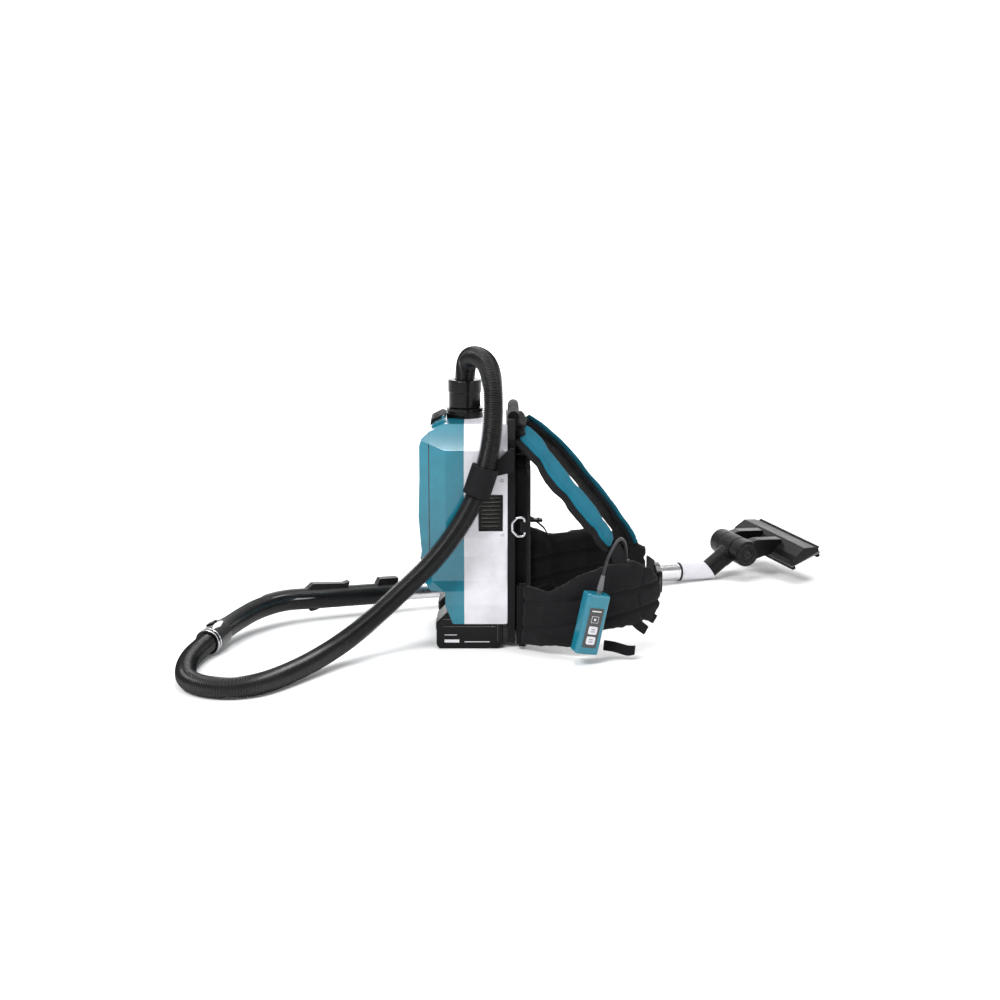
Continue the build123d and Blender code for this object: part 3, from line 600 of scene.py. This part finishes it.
def stitch_row(name, path, normal, lift):
    """A row of sewn stitches standing on a surface."""
    spots = resample(path, STITCH_PITCH)
    corners, faces = [], []
    for here, ahead in zip(spots, spots[1:]):
        run = (ahead - here) * STITCH_SHARE
        side = run.cross(normal).normalized() * STITCH_HALF_WIDTH
        up = normal * STITCH_HEIGHT
        base = len(corners)
        start = here + normal * lift
        for point in (start - side, start + side, start + run + side, start + run - side):
            corners.append(point)
        for point in (start + run * 0.2 + up, start + run * 0.8 + up):
            corners.append(point)
        faces += [(base, base + 4, base + 1), (base + 1, base + 4, base + 5, base + 2),
                  (base + 2, base + 5, base + 3), (base + 3, base + 5, base + 4, base),
                  (base, base + 1, base + 2, base + 3)]
    mesh = bpy.data.meshes.new(name)
    mesh.from_pydata(corners, [], faces)
    return show(name, mesh)


NEAR_STRAP = [((101, -58, 376), 30), ((128, -75, 352), 31), ((155, -93, 316), 31), ((187, -113, 280), 31),
              ((220, -128, 242), 30), ((242, -136, 212), 25), ((252, -139, 197), 18)]
FAR_STRAP = [((103, 56, 380), 30), ((149, 70, 343), 31), ((193, 80, 293), 31), ((235, 86, 240), 31),
             ((275, 88, 187), 30), ((298, 88, 153), 24), ((305, 88, 141), 18)]
STRAPS = {
    "near": (NEAR_STRAP, (0.25, 0.88, 0.32), (0.76, 0.1, 0.64)),
    "far": (FAR_STRAP, (0.25, -0.88, 0.32), (0.76, -0.1, 0.64)),
}
STRAP_PHASE = {"near": 0.6, "far": 2.4}
FOAM_SPREAD = {"near": (0.72, 1.10), "far": (0.84, 0.98)}
FOAM_HALF_THICK = 0.0065
FOAM_DROP = 0.006
FACE_SPREAD = {"near": (0.80, 0.84), "far": (0.90, 0.96)}
FACE_LIFT = {"near": 0.001, "far": 0.0045}
FACE_HALF_THICK = 0.0042
BINDING_R = 0.0024
STITCH_INSET = 0.005
STITCH_LIFT = 0.0036
for side_name, (stations, wide, thick) in STRAPS.items():
    label = f"strap_{side_name}"
    phase = STRAP_PHASE[side_name]
    foam, foam_edges, _ = strap(f"{label}_foam", stations, wide, thick, FOAM_HALF_THICK,
                                FOAM_SPREAD[side_name], FOAM_DROP, phase)
    fit(foam, ROOT, "mesh")
    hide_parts(f"shoulder_strap_{side_name}")
    face, edges, normal = strap(f"{label}_face", stations, wide, thick, FACE_HALF_THICK,
                                FACE_SPREAD[side_name], -FACE_LIFT[side_name], phase)
    fit(face, ROOT, "teal_cloth")
    inward = (edges[1][10] - edges[0][10]).normalized()
    for number, edge in enumerate(foam_edges):
        binding = tube(f"{label}_binding_{number}", resample(edge, 0.004), BINDING_R, 12)
        fit(binding, ROOT, "pad")
    for number, edge in enumerate(edges):
        shift = inward * (STITCH_INSET if number == 0 else -STITCH_INSET)
        row = stitch_row(f"{label}_stitches_{number}", [point + shift for point in edge[3:-3]], normal,
                         STITCH_LIFT)
        fit(row, ROOT, "thread")

# The straps grow out of a padded yoke across the top of the harness.
YOKE = [((96, 0, 338), 84), ((96.5, 0, 352), 85), ((97, 0, 368), 84), ((97.5, 0, 384), 78),
        ((98, 0, 393), 66)]
YOKE_HALF_THICK = 0.0085
YOKE_SEAMS = (-70, -35, 0, 35, 70)
yoke, _, _ = strap("harness_yoke", YOKE, (0, 1, 0), (1, 0, 0), YOKE_HALF_THICK, (0.98, 0.98), count=60)
press(yoke, [channel(1, y * MM, 0.003, 0.003) for y in YOKE_SEAMS])
fit(yoke, ROOT, "mesh")


# ---- webbing ------------------------------------------------------------
WEB_HALF_THICK = 0.0012
SKIRT_HALF_THICK = 0.005
RIBBON_COUNT = 40


def ribbon(name, stations, half_thick=WEB_HALF_THICK, look="web"):
    """Flat webbing: each station is (centre, half width vector) in millimetres."""
    centres = through([mm(*centre) for centre, _ in stations], RIBBON_COUNT)
    halves = through([mm(*half) for _, half in stations], RIBBON_COUNT)
    rings = []
    for i, (centre, half) in enumerate(zip(centres, halves)):
        run = (centres[min(i + 1, RIBBON_COUNT - 1)] - centres[max(i - 1, 0)]).normalized()
        across = half.normalized()
        normal = run.cross(across).normalized()
        section = pillow(half.length, half_thick, 6, 24)
        rings.append([centre + across * u + normal * v for u, v in section])
    return fit(loft(name, rings), ROOT, look)


def tab(side):
    """Short loop of webbing that holds a D-ring at one side of the harness."""
    return [((x, side * y, 220), (0, 0, 9))
            for x, y in ((112, 117.6), (101.5, 120.6), (98.5, 117.5), (101.5, 114.4), (112, 113.4))]


UPRIGHT = (0, 0, 12)
# The lower edge of the hip belt, below the far pad.
SKIRT = [((104, 112, 26), (0, 0, 23)), ((153, 136, 25), (0, 0, 22)), ((200, 146, 32), (0, 0, 17))]
RIBBONS = {
    "web_near": [((337.7, -105, 104), UPRIGHT), ((342, -84, 104), UPRIGHT), ((344, -62, 104), UPRIGHT),
                 ((344, -38, 104), UPRIGHT)],
    "web_far": [((333.5, 111, 104), UPRIGHT), ((340, 88, 104), UPRIGHT), ((344, 64, 104), UPRIGHT),
                ((344, 14, 104), UPRIGHT)],
    "web_drop_near": [((256.5, -138.5, 190.5), (11, 4.2, 3)), ((264, -147, 176), (11, 4.2, 3)),
                      ((268, -158, 160), (11, 4.2, 3)), ((272, -163.5, 140), (11, 4.2, 3))],
    "web_drop_far": [((308.5, 88.5, 138), (11.5, -3.4, 0)), ((311, 99, 122), (11.5, -3.4, 0)),
                     ((312, 112, 100), (11.5, -3.4, 0))],
    "web_tip_high": [((298, -150, 92), (3, 1, 9)), ((312, -141, 74), (4, 1, 8)),
                     ((330, -133, 60), (4, 1, 7))],
    "web_tip_low": [((284, -157, 72), (3, 1, 8)), ((300, -152, 56), (4, 1, 8)),
                    ((314, -147, 44), (4, 1, 7))],
    "web_ladder": [((89, 96, 192), (0, 8, 0)), ((112, 96, 191), (0, 8, 0)), ((121, 96, 189.6), (0, 6, 0)),
                   ((126, 96, 186), (0, 6, 0)), ((131, 97, 181), (0, 6, 0)), ((143, 108, 168), (0, 6, 0)),
                   ((150, 122, 152), (0, 6, 0))],
    "web_tail": [((240, -165, 23), (0.9, 3.1, 8.4)), ((258, -172, 22), (0.9, 3.1, 8.4)),
                 ((280, -177, 17), (0.9, 3.1, 8.4)), ((293, -178, 18), (0.9, 3.0, 7.4))],
    "web_tab_near": tab(-1),
    "web_tab_far": tab(1),
}
ribbon("waist_skirt_far", SKIRT, SKIRT_HALF_THICK, look="pad")
for name, stations in RIBBONS.items():
    piece = ribbon(name, stations)
    if name == "web_near":
        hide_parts("webbing")


# ---- small parts ------------------------------------------------------------
ARC_STEPS = 10


def frame_of(origin, x_way, z_way):
    """Matrix whose x and z axes run along the given directions."""
    z = Vector(z_way).normalized()
    y = z.cross(Vector(x_way)).normalized()
    x = y.cross(z)
    turn = Matrix((x, y, z)).transposed().to_4x4()
    return Matrix.Translation(origin) @ turn


def slabs(name, frame_matrix, boxes, look, body, soften=0.0004):
    """Rounded boxes in one piece: each box is (centre, size) in millimetres in the given frame."""
    build = bmesh.new()
    for centre, size in boxes:
        place = Matrix.Translation(mm(*centre)) @ Matrix.Diagonal((*mm(*size), 1))
        made = bmesh.ops.create_cube(build, size=1, matrix=place)
        edges = list({edge for vertex in made["verts"] for edge in vertex.link_edges})
        bmesh.ops.bevel(build, geom=edges, offset=soften, segments=2, affect="EDGES")
    build.transform(frame_matrix)
    mesh = bpy.data.meshes.new(name)
    build.to_mesh(mesh)
    build.free()
    return fit(show(name, mesh), body, look)


def ring(name, frame_matrix, outline, look, body, sides=64):
    """Turned ring: the outline is (radius, height) in millimetres round the frame's z axis."""
    corners, faces = [], []
    size = len(outline)
    for k in range(sides):
        t = 2 * math.pi * k / sides
        corners += [frame_matrix @ mm(r * math.cos(t), r * math.sin(t), h) for r, h in outline]
    for k in range(sides):
        for j in range(size):
            a, b = k * size + j, k * size + (j + 1) % size
            c, d = ((k + 1) % sides) * size + (j + 1) % size, ((k + 1) % sides) * size + j
            faces.append((a, d, c, b))
    mesh = bpy.data.meshes.new(name)
    mesh.from_pydata(corners, [], faces)
    smooth_faces(mesh)
    return fit(show(name, mesh), body, look)


def wedge(name, outline, low_y, high_y, look, body, soften):
    """Rounded prism: its outline is (x, z) in millimetres, and it runs from low_y to high_y."""
    build = bmesh.new()
    ends = [[build.verts.new(mm(x, y, z)) for x, z in outline] for y in (low_y, high_y)]
    build.faces.new(ends[0])
    build.faces.new(ends[1])
    for k in range(len(outline)):
        after = (k + 1) % len(outline)
        build.faces.new((ends[0][k], ends[0][after], ends[1][after], ends[1][k]))
    bmesh.ops.bevel(build, geom=list(build.edges), offset=soften, segments=3, affect="EDGES")
    bmesh.ops.recalc_face_normals(build, faces=list(build.faces))
    mesh = bpy.data.meshes.new(name)
    build.to_mesh(mesh)
    build.free()
    return fit(show(name, mesh), body, look)


def rounded(route):
    """Points along straight runs joined by tangent arcs."""
    out = [route[0]]
    for before, corner, after in zip(route, route[1:], route[2:]):
        reach = 0.45 * min((corner - before).length, (after - corner).length)
        one, two = (corner - before).normalized(), (after - corner).normalized()
        half = one.angle(two) / 2
        radius = reach / math.tan(half)
        centre = corner + (two - one).normalized() * math.hypot(radius, reach)
        spoke = corner - one * reach - centre
        axis = one.cross(two).normalized()
        out += [centre + Matrix.Rotation(2 * half * k / ARC_STEPS, 3, axis) @ spoke
                for k in range(ARC_STEPS + 1)]
    return out + [route[-1]]


def shell(name, path, aim, inner, outer, half_angle, look, body):
    """Curved strip on a tube, covering half_angle degrees each way round from the aim direction."""
    rings = []
    count = len(path)
    for i, point in enumerate(path):
        way = (path[min(i + 1, count - 1)] - path[max(i - 1, 0)]).normalized()
        up = (Vector(aim) - way * Vector(aim).dot(way)).normalized()
        side = way.cross(up)
        taper = min(1.0, 0.25 + min(i, count - 1 - i) / 8)
        angles = [math.radians(half_angle * taper * (k / 8 - 1)) for k in range(17)]
        top = [point + (up * math.cos(t) + side * math.sin(t)) * outer for t in angles]
        under = [point + (up * math.cos(t) + side * math.sin(t)) * inner for t in reversed(angles)]
        rings.append(top + under)
    return fit(loft(name, rings), body, look)


HANDLE_END = mm(-443, -155, 24)
HANDLE_DIR = Vector((0.3, 0.948, 0.1)).normalized()
WAND_START = mm(-58, 168, 36)
WAND_DIR = Vector((1, 0.414, -0.0305)).normalized()
ELBOW_START = mm(478, 389.9, 19.65)
BARREL = mm(532, 412, 60)
ELBOW_DIR = (BARREL - ELBOW_START).normalized()
HEAD_PITCH = math.radians(20)
HEAD_REACH = 100
HEAD_DROP = 6
wide_guess = Vector((0.5, -0.866, 0))
WIDE = (wide_guess - ELBOW_DIR * wide_guess.dot(ELBOW_DIR)).normalized()
LEVEL = Vector((-WIDE.y, WIDE.x, 0)).normalized()
RISE = LEVEL.cross(-WIDE)
FRONT = LEVEL * math.cos(HEAD_PITCH) + RISE * math.sin(HEAD_PITCH)
HEAD_UP = RISE * math.cos(HEAD_PITCH) - LEVEL * math.sin(HEAD_PITCH)
HEAD = BARREL + (LEVEL * HEAD_REACH - RISE * HEAD_DROP) * MM
head_frame = frame_of(HEAD, FRONT, HEAD_UP)


def wand_at(x):
    """Point of the wand's straight axis at a given x in millimetres."""
    return WAND_START + WAND_DIR * ((x * MM - WAND_START.x) / WAND_DIR.x)


# Handle: bright trim along its outer side, over the air slider and at the hose's swivel, and dark seams.
HANDLE_STRAIGHT = 0.092
TRIM_STEP = 0.004
TRIM_AIM = (-0.62, -0.25, 0.74)
SWIVEL_RING = [(21.8, 0), (22.6, 0.4), (22.6, 2.2), (21.8, 2.6)]
handle_axis = rounded([HANDLE_END, HANDLE_END + HANDLE_DIR * HANDLE_STRAIGHT, mm(-378, 1, 43),
                       mm(-334, 47, 47), wand_at(-276), wand_at(-125)])
handle_axis = resample(handle_axis, TRIM_STEP)
shell("handle_trim", handle_axis[14:52], TRIM_AIM, 0.0190, 0.0203, 34, "chrome", ROOT)
shell("handle_seam_low", handle_axis[14:74], (0.35, -0.75, 0.25), 0.0190, 0.0199, 5, "gloss", ROOT)
shell("handle_seam_high", handle_axis[50:84], (0.0, -0.75, 0.55), 0.0190, 0.0200, 4, "gloss", ROOT)
collar_frame = frame_of(HANDLE_END, (0, 0, 1), HANDLE_DIR)
for number, low in enumerate((1.4, 10.2)):
    ring(f"swivel_ring_{number}", collar_frame, [(r, low + h) for r, h in SWIVEL_RING], "chrome",
         "swivel_collar")
shell("air_sleeve_trim", handle_axis[4:14], (0.1, -0.5, 0.8), 0.0216, 0.0227, 20, "chrome", ROOT)

# Wand: dark rings at the tube's end and on the elbow.
TUBE_END_X = 414
ELBOW_RING_AT = 0.0345
ring("tube_end_ring", frame_of(wand_at(TUBE_END_X), (0, 0, 1), WAND_DIR),
     [(17.6, 0), (18.5, 0.3), (18.5, 4.2), (17.6, 4.5)], "rubber", "outer_wand")
ring("elbow_ring", frame_of(ELBOW_START + ELBOW_DIR * ELBOW_RING_AT, (0, 0, 1), ELBOW_DIR),
     [(18.6, 0), (19.3, 0.3), (19.3, 1.2), (18.6, 1.5)], "satin", "outer_wand")

# Floor nozzle: turned discs on both ends of the barrel, ribbed grips along both long edges, and a ridge.
BARREL_HALF = 0.0524
BARREL_DISC = [(17.0, -0.4), (17.8, 0.9), (19.6, 0.9), (20.6, -0.4)]
BARREL_BUTTON = [(0.1, -0.4), (0.1, 1.3), (8.5, 1.1), (10.2, -0.4)]
TOOTH_SIZE = (6.0, 3.0, 4.4)
TOOTH_PITCH = 6.0
TOOTH_COUNT = 36
TOOTH_FIRST = -105.0
TOOTH_EDGE = 34.5
TOOTH_LEVEL = 11.8
for number, side in enumerate((1, -1)):
    cap = frame_of(BARREL + WIDE * side * BARREL_HALF, FRONT, WIDE * side)
    ring(f"barrel_disc_{number}", cap, BARREL_DISC, "satin", "nozzle_head_set")
    ring(f"barrel_button_{number}", cap, BARREL_BUTTON, "satin", "nozzle_head_set")
teeth = [((edge, TOOTH_FIRST + TOOTH_PITCH * k, TOOTH_LEVEL), TOOTH_SIZE)
         for edge in (TOOTH_EDGE, -TOOTH_EDGE)
         for k in range(TOOTH_COUNT)]
slabs("nozzle_edge_ribs", head_frame, teeth, "rubber", "nozzle_head_set", 0.0005)
slabs("nozzle_ridge", head_frame, [((2, -6, 26.6), (3.4, 150, 1.6))], "satin", "nozzle_head_set", 0.0006)

# Battery packs: plain light bars and dark lines on each outer side, and grip ribs on the buttons.
UPRIGHT_FRAME = Matrix.Identity(4)
BATTERY_FACE = 108.1
FINE = 0.0002       # edge rounding of thin marks
for side_name, side in (("near", -1), ("far", 1)):
    face = side * BATTERY_FACE
    slabs(f"battery_band_{side_name}", UPRIGHT_FRAME,
          [((-22, face, 14), (26, 0.5, 5.6)), ((22, face, 12.6), (44, 0.5, 1.6)),
           ((-24, face, 25), (22, 0.5, 1.4))],
          "mark", f"battery_{side_name}", FINE)
    slabs(f"battery_recess_{side_name}", UPRIGHT_FRAME,
          [((9, face, 40), (92, 0.7, 1.2)), ((9, face, 53), (92, 0.7, 1.2)),
           ((58, face, 30), (1.2, 0.7, 34))],
          "gloss", f"battery_{side_name}", FINE)
    slabs(f"button_ribs_{side_name}", UPRIGHT_FRAME,
          [((-50.6, side * 70.5, z), (0.9, 22, 1.3)) for z in (30, 33, 36, 39)], "black",
          f"battery_button_{side_name}_set", 0.0003)

# Hand control: plain light marks on the dark panel, grey ones on the two white buttons, and a side seam.
remote_frame = (Matrix.Translation(mm(215, -202, 73)) @ Matrix.Rotation(math.radians(12), 4, "Y")
                @ Matrix.Rotation(math.radians(22), 4, "Z"))
slabs("remote_marks", remote_frame,
      [((0, -14.0, 24.5), (17, 0.5, 2.4)), ((0, -14.0, 15.5), (13, 0.5, 0.9)),
       ((0, -14.0, 4.5), (13, 0.5, 0.9)), ((-6.2, -14.0, 10), (0.9, 0.5, 11)),
       ((6.2, -14.0, 10), (0.9, 0.5, 11)), ((0, -14.0, 10), (4, 0.5, 4))],
      "mark", ROOT, FINE)
for name, z, body in (("power_mark", -27, "power_button"), ("speed_mark", -9, "speed_button")):
    bars = [((0, -15.4, z + shift), (7.5, 0.5, 1.2)) for shift in (2.0, -2.0)]
    slabs(name, remote_frame, bars, "grey", body, FINE)
slabs("remote_seam", remote_frame, [((0, 4.2, 0), (43.3, 0.7, 100))], "gloss", ROOT, 0.0003)

# Fabric that joins the near waist pad to the harness.
slabs("waist_root_near", UPRIGHT_FRAME, [((101, -107.5, 61), (20, 16, 112))], "pad", ROOT, 0.004)

# Casing: fairings beside the latch, the cover's seam lines, ribs on the latch, frames round the vents and
# screw heads.
FAIRING = [(-30.5, 383), (-30.5, 397.5), (-36, 397.5), (-46, 394.5), (-57, 387.5), (-59, 383)]
FAIRING_Y = (38.6, 62.0)
COVER_SEAM = [(-76, 101.8, 161.2), (-67, 104.5, 161.2), (-62, 106.0, 163), (-60.2, 106.5, 168),
              (-60.2, 106.5, 361), (-60.2, 93.6, 380.5)]
SEAM_R = 0.0009
VENT_FACE = 114.6
SCREW_FACE = 114.9
SCREW_HEAD = [(0.1, 0.3), (1.0, 0.3), (1.1, 0.9), (3.1, 0.8), (3.4, -0.6), (0.1, -0.6)]
for number, side in enumerate((-1, 1)):
    wedge(f"latch_fairing_{number}", FAIRING, side * FAIRING_Y[0], side * FAIRING_Y[1], "teal", ROOT, 0.0022)
for number, side in enumerate((-1, 1)):
    path = [mm(x, side * y, z) for x, y, z in COVER_SEAM]
    fit(tube(f"cover_seam_{number}", resample(path, 0.004), SEAM_R, 10), ROOT, "gloss")
slabs("latch_grip", UPRIGHT_FRAME,
      [((-46 - 3.2 * k, 0, 399.9 - 1.53 * k), (1.2, 46, 1.8)) for k in range(3)],
      "matt", "cover_latch_set", 0.0004)
slabs("vent_frames", UPRIGHT_FRAME,
      [((x, side * VENT_FACE, 244), (1.6, 1.8, 63)) for side in (-1, 1) for x in (25.6, 66.4)]
      + [((46, side * VENT_FACE, z), (42, 1.8, 1.6)) for side in (-1, 1) for z in (212.6, 275.4)],
      "satin", ROOT, 0.0005)
for number, (side, z) in enumerate(((-1, 300), (-1, 205), (1, 300), (1, 205))):
    turn = frame_of(mm(66, side * SCREW_FACE, z), (1, 0, 0), (0, side, 0))
    ring(f"panel_screw_{number}", turn, SCREW_HEAD, "steel", ROOT, 32)

# ---- floor and light ------------------------------------------------------------
FLOOR_HALF = 7.0
WALL_START = 3.6
WALL_RISE = 6.0
SWEEP_R = 2.0
SWEEP_STEPS = 12
SKY_STRENGTH = 0.42
sweep = [(-FLOOR_HALF, 0.0), (WALL_START, 0.0)]
for k in range(1, SWEEP_STEPS + 1):
    t = math.pi / 2 * k / SWEEP_STEPS
    sweep.append((WALL_START + SWEEP_R * math.sin(t), SWEEP_R * (1 - math.cos(t))))
sweep.append((WALL_START + SWEEP_R, WALL_RISE))
floor_mesh = bpy.data.meshes.new("floor")
floor_mesh.from_pydata([(x, y, z) for y, z in sweep for x in (-FLOOR_HALF, FLOOR_HALF)], [],
                       [(2 * k, 2 * k + 1, 2 * k + 3, 2 * k + 2) for k in range(len(sweep) - 1)])
smooth_faces(floor_mesh)
floor = show("floor", floor_mesh)
floor_shader = Shader("floor_paper")
pale = floor_shader.mix(floor_shader.span(floor_shader.noise(6, 4), 0.3, 0.7), (0.93, 0.93, 0.93, 1),
                        (0.95, 0.95, 0.95, 1))
floor_shader.feed("Base Color", pale)
floor_shader.feed("Roughness", 0.9)
floor_shader.feed("Specular IOR Level", 0.1)
floor_mesh.materials.append(floor_shader.material)

world = bpy.data.worlds.new("studio")
bpy.context.scene.world = world
world.use_nodes = True
world.node_tree.nodes["Background"].inputs["Color"].default_value = (1, 1, 1, 1)
world.node_tree.nodes["Background"].inputs["Strength"].default_value = SKY_STRENGTH


def lamp(name, place, aim, size, power):
    data = bpy.data.lights.new(name, "AREA")
    data.shape = "RECTANGLE"
    data.size, data.size_y = size
    data.energy = power
    thing = show(name, data)
    thing.location = place
    thing.rotation_euler = (Vector(aim) - Vector(place)).to_track_quat("-Z", "Y").to_euler()


GLINT_DISTANCE = 1.8


def glint(name, spot, normal, size, power):
    """Lamp placed where a flat facet mirrors it into the camera."""
    spot, normal = mm(*spot), Vector(normal).normalized()
    view = (camera.location - spot).normalized()
    way = normal * (2 * view.dot(normal)) - view
    lamp(name, spot + way * GLINT_DISTANCE, spot, size, power)


lamp("key", (-1.5, -1.9, 2.4), (0, 0, 0.2), (1.3, 0.9), 78)
lamp("top", (0.3, 0.5, 2.8), (0.1, 0, 0.1), (2.2, 1.6), 62)
lamp("fill", (2.4, -1.8, 1.0), (0.2, 0, 0.2), (0.7, 1.4), 16)
glint("chamfer_glint", (-30, -100, 371), (0, -0.834, 0.552), (0.34, 0.24), 8)
lamp("backdrop", (0, 2.0, 3.4), (0, 5.4, 1.6), (6.0, 1.2), 330)

bpy.context.scene.view_settings.view_transform = "Standard"
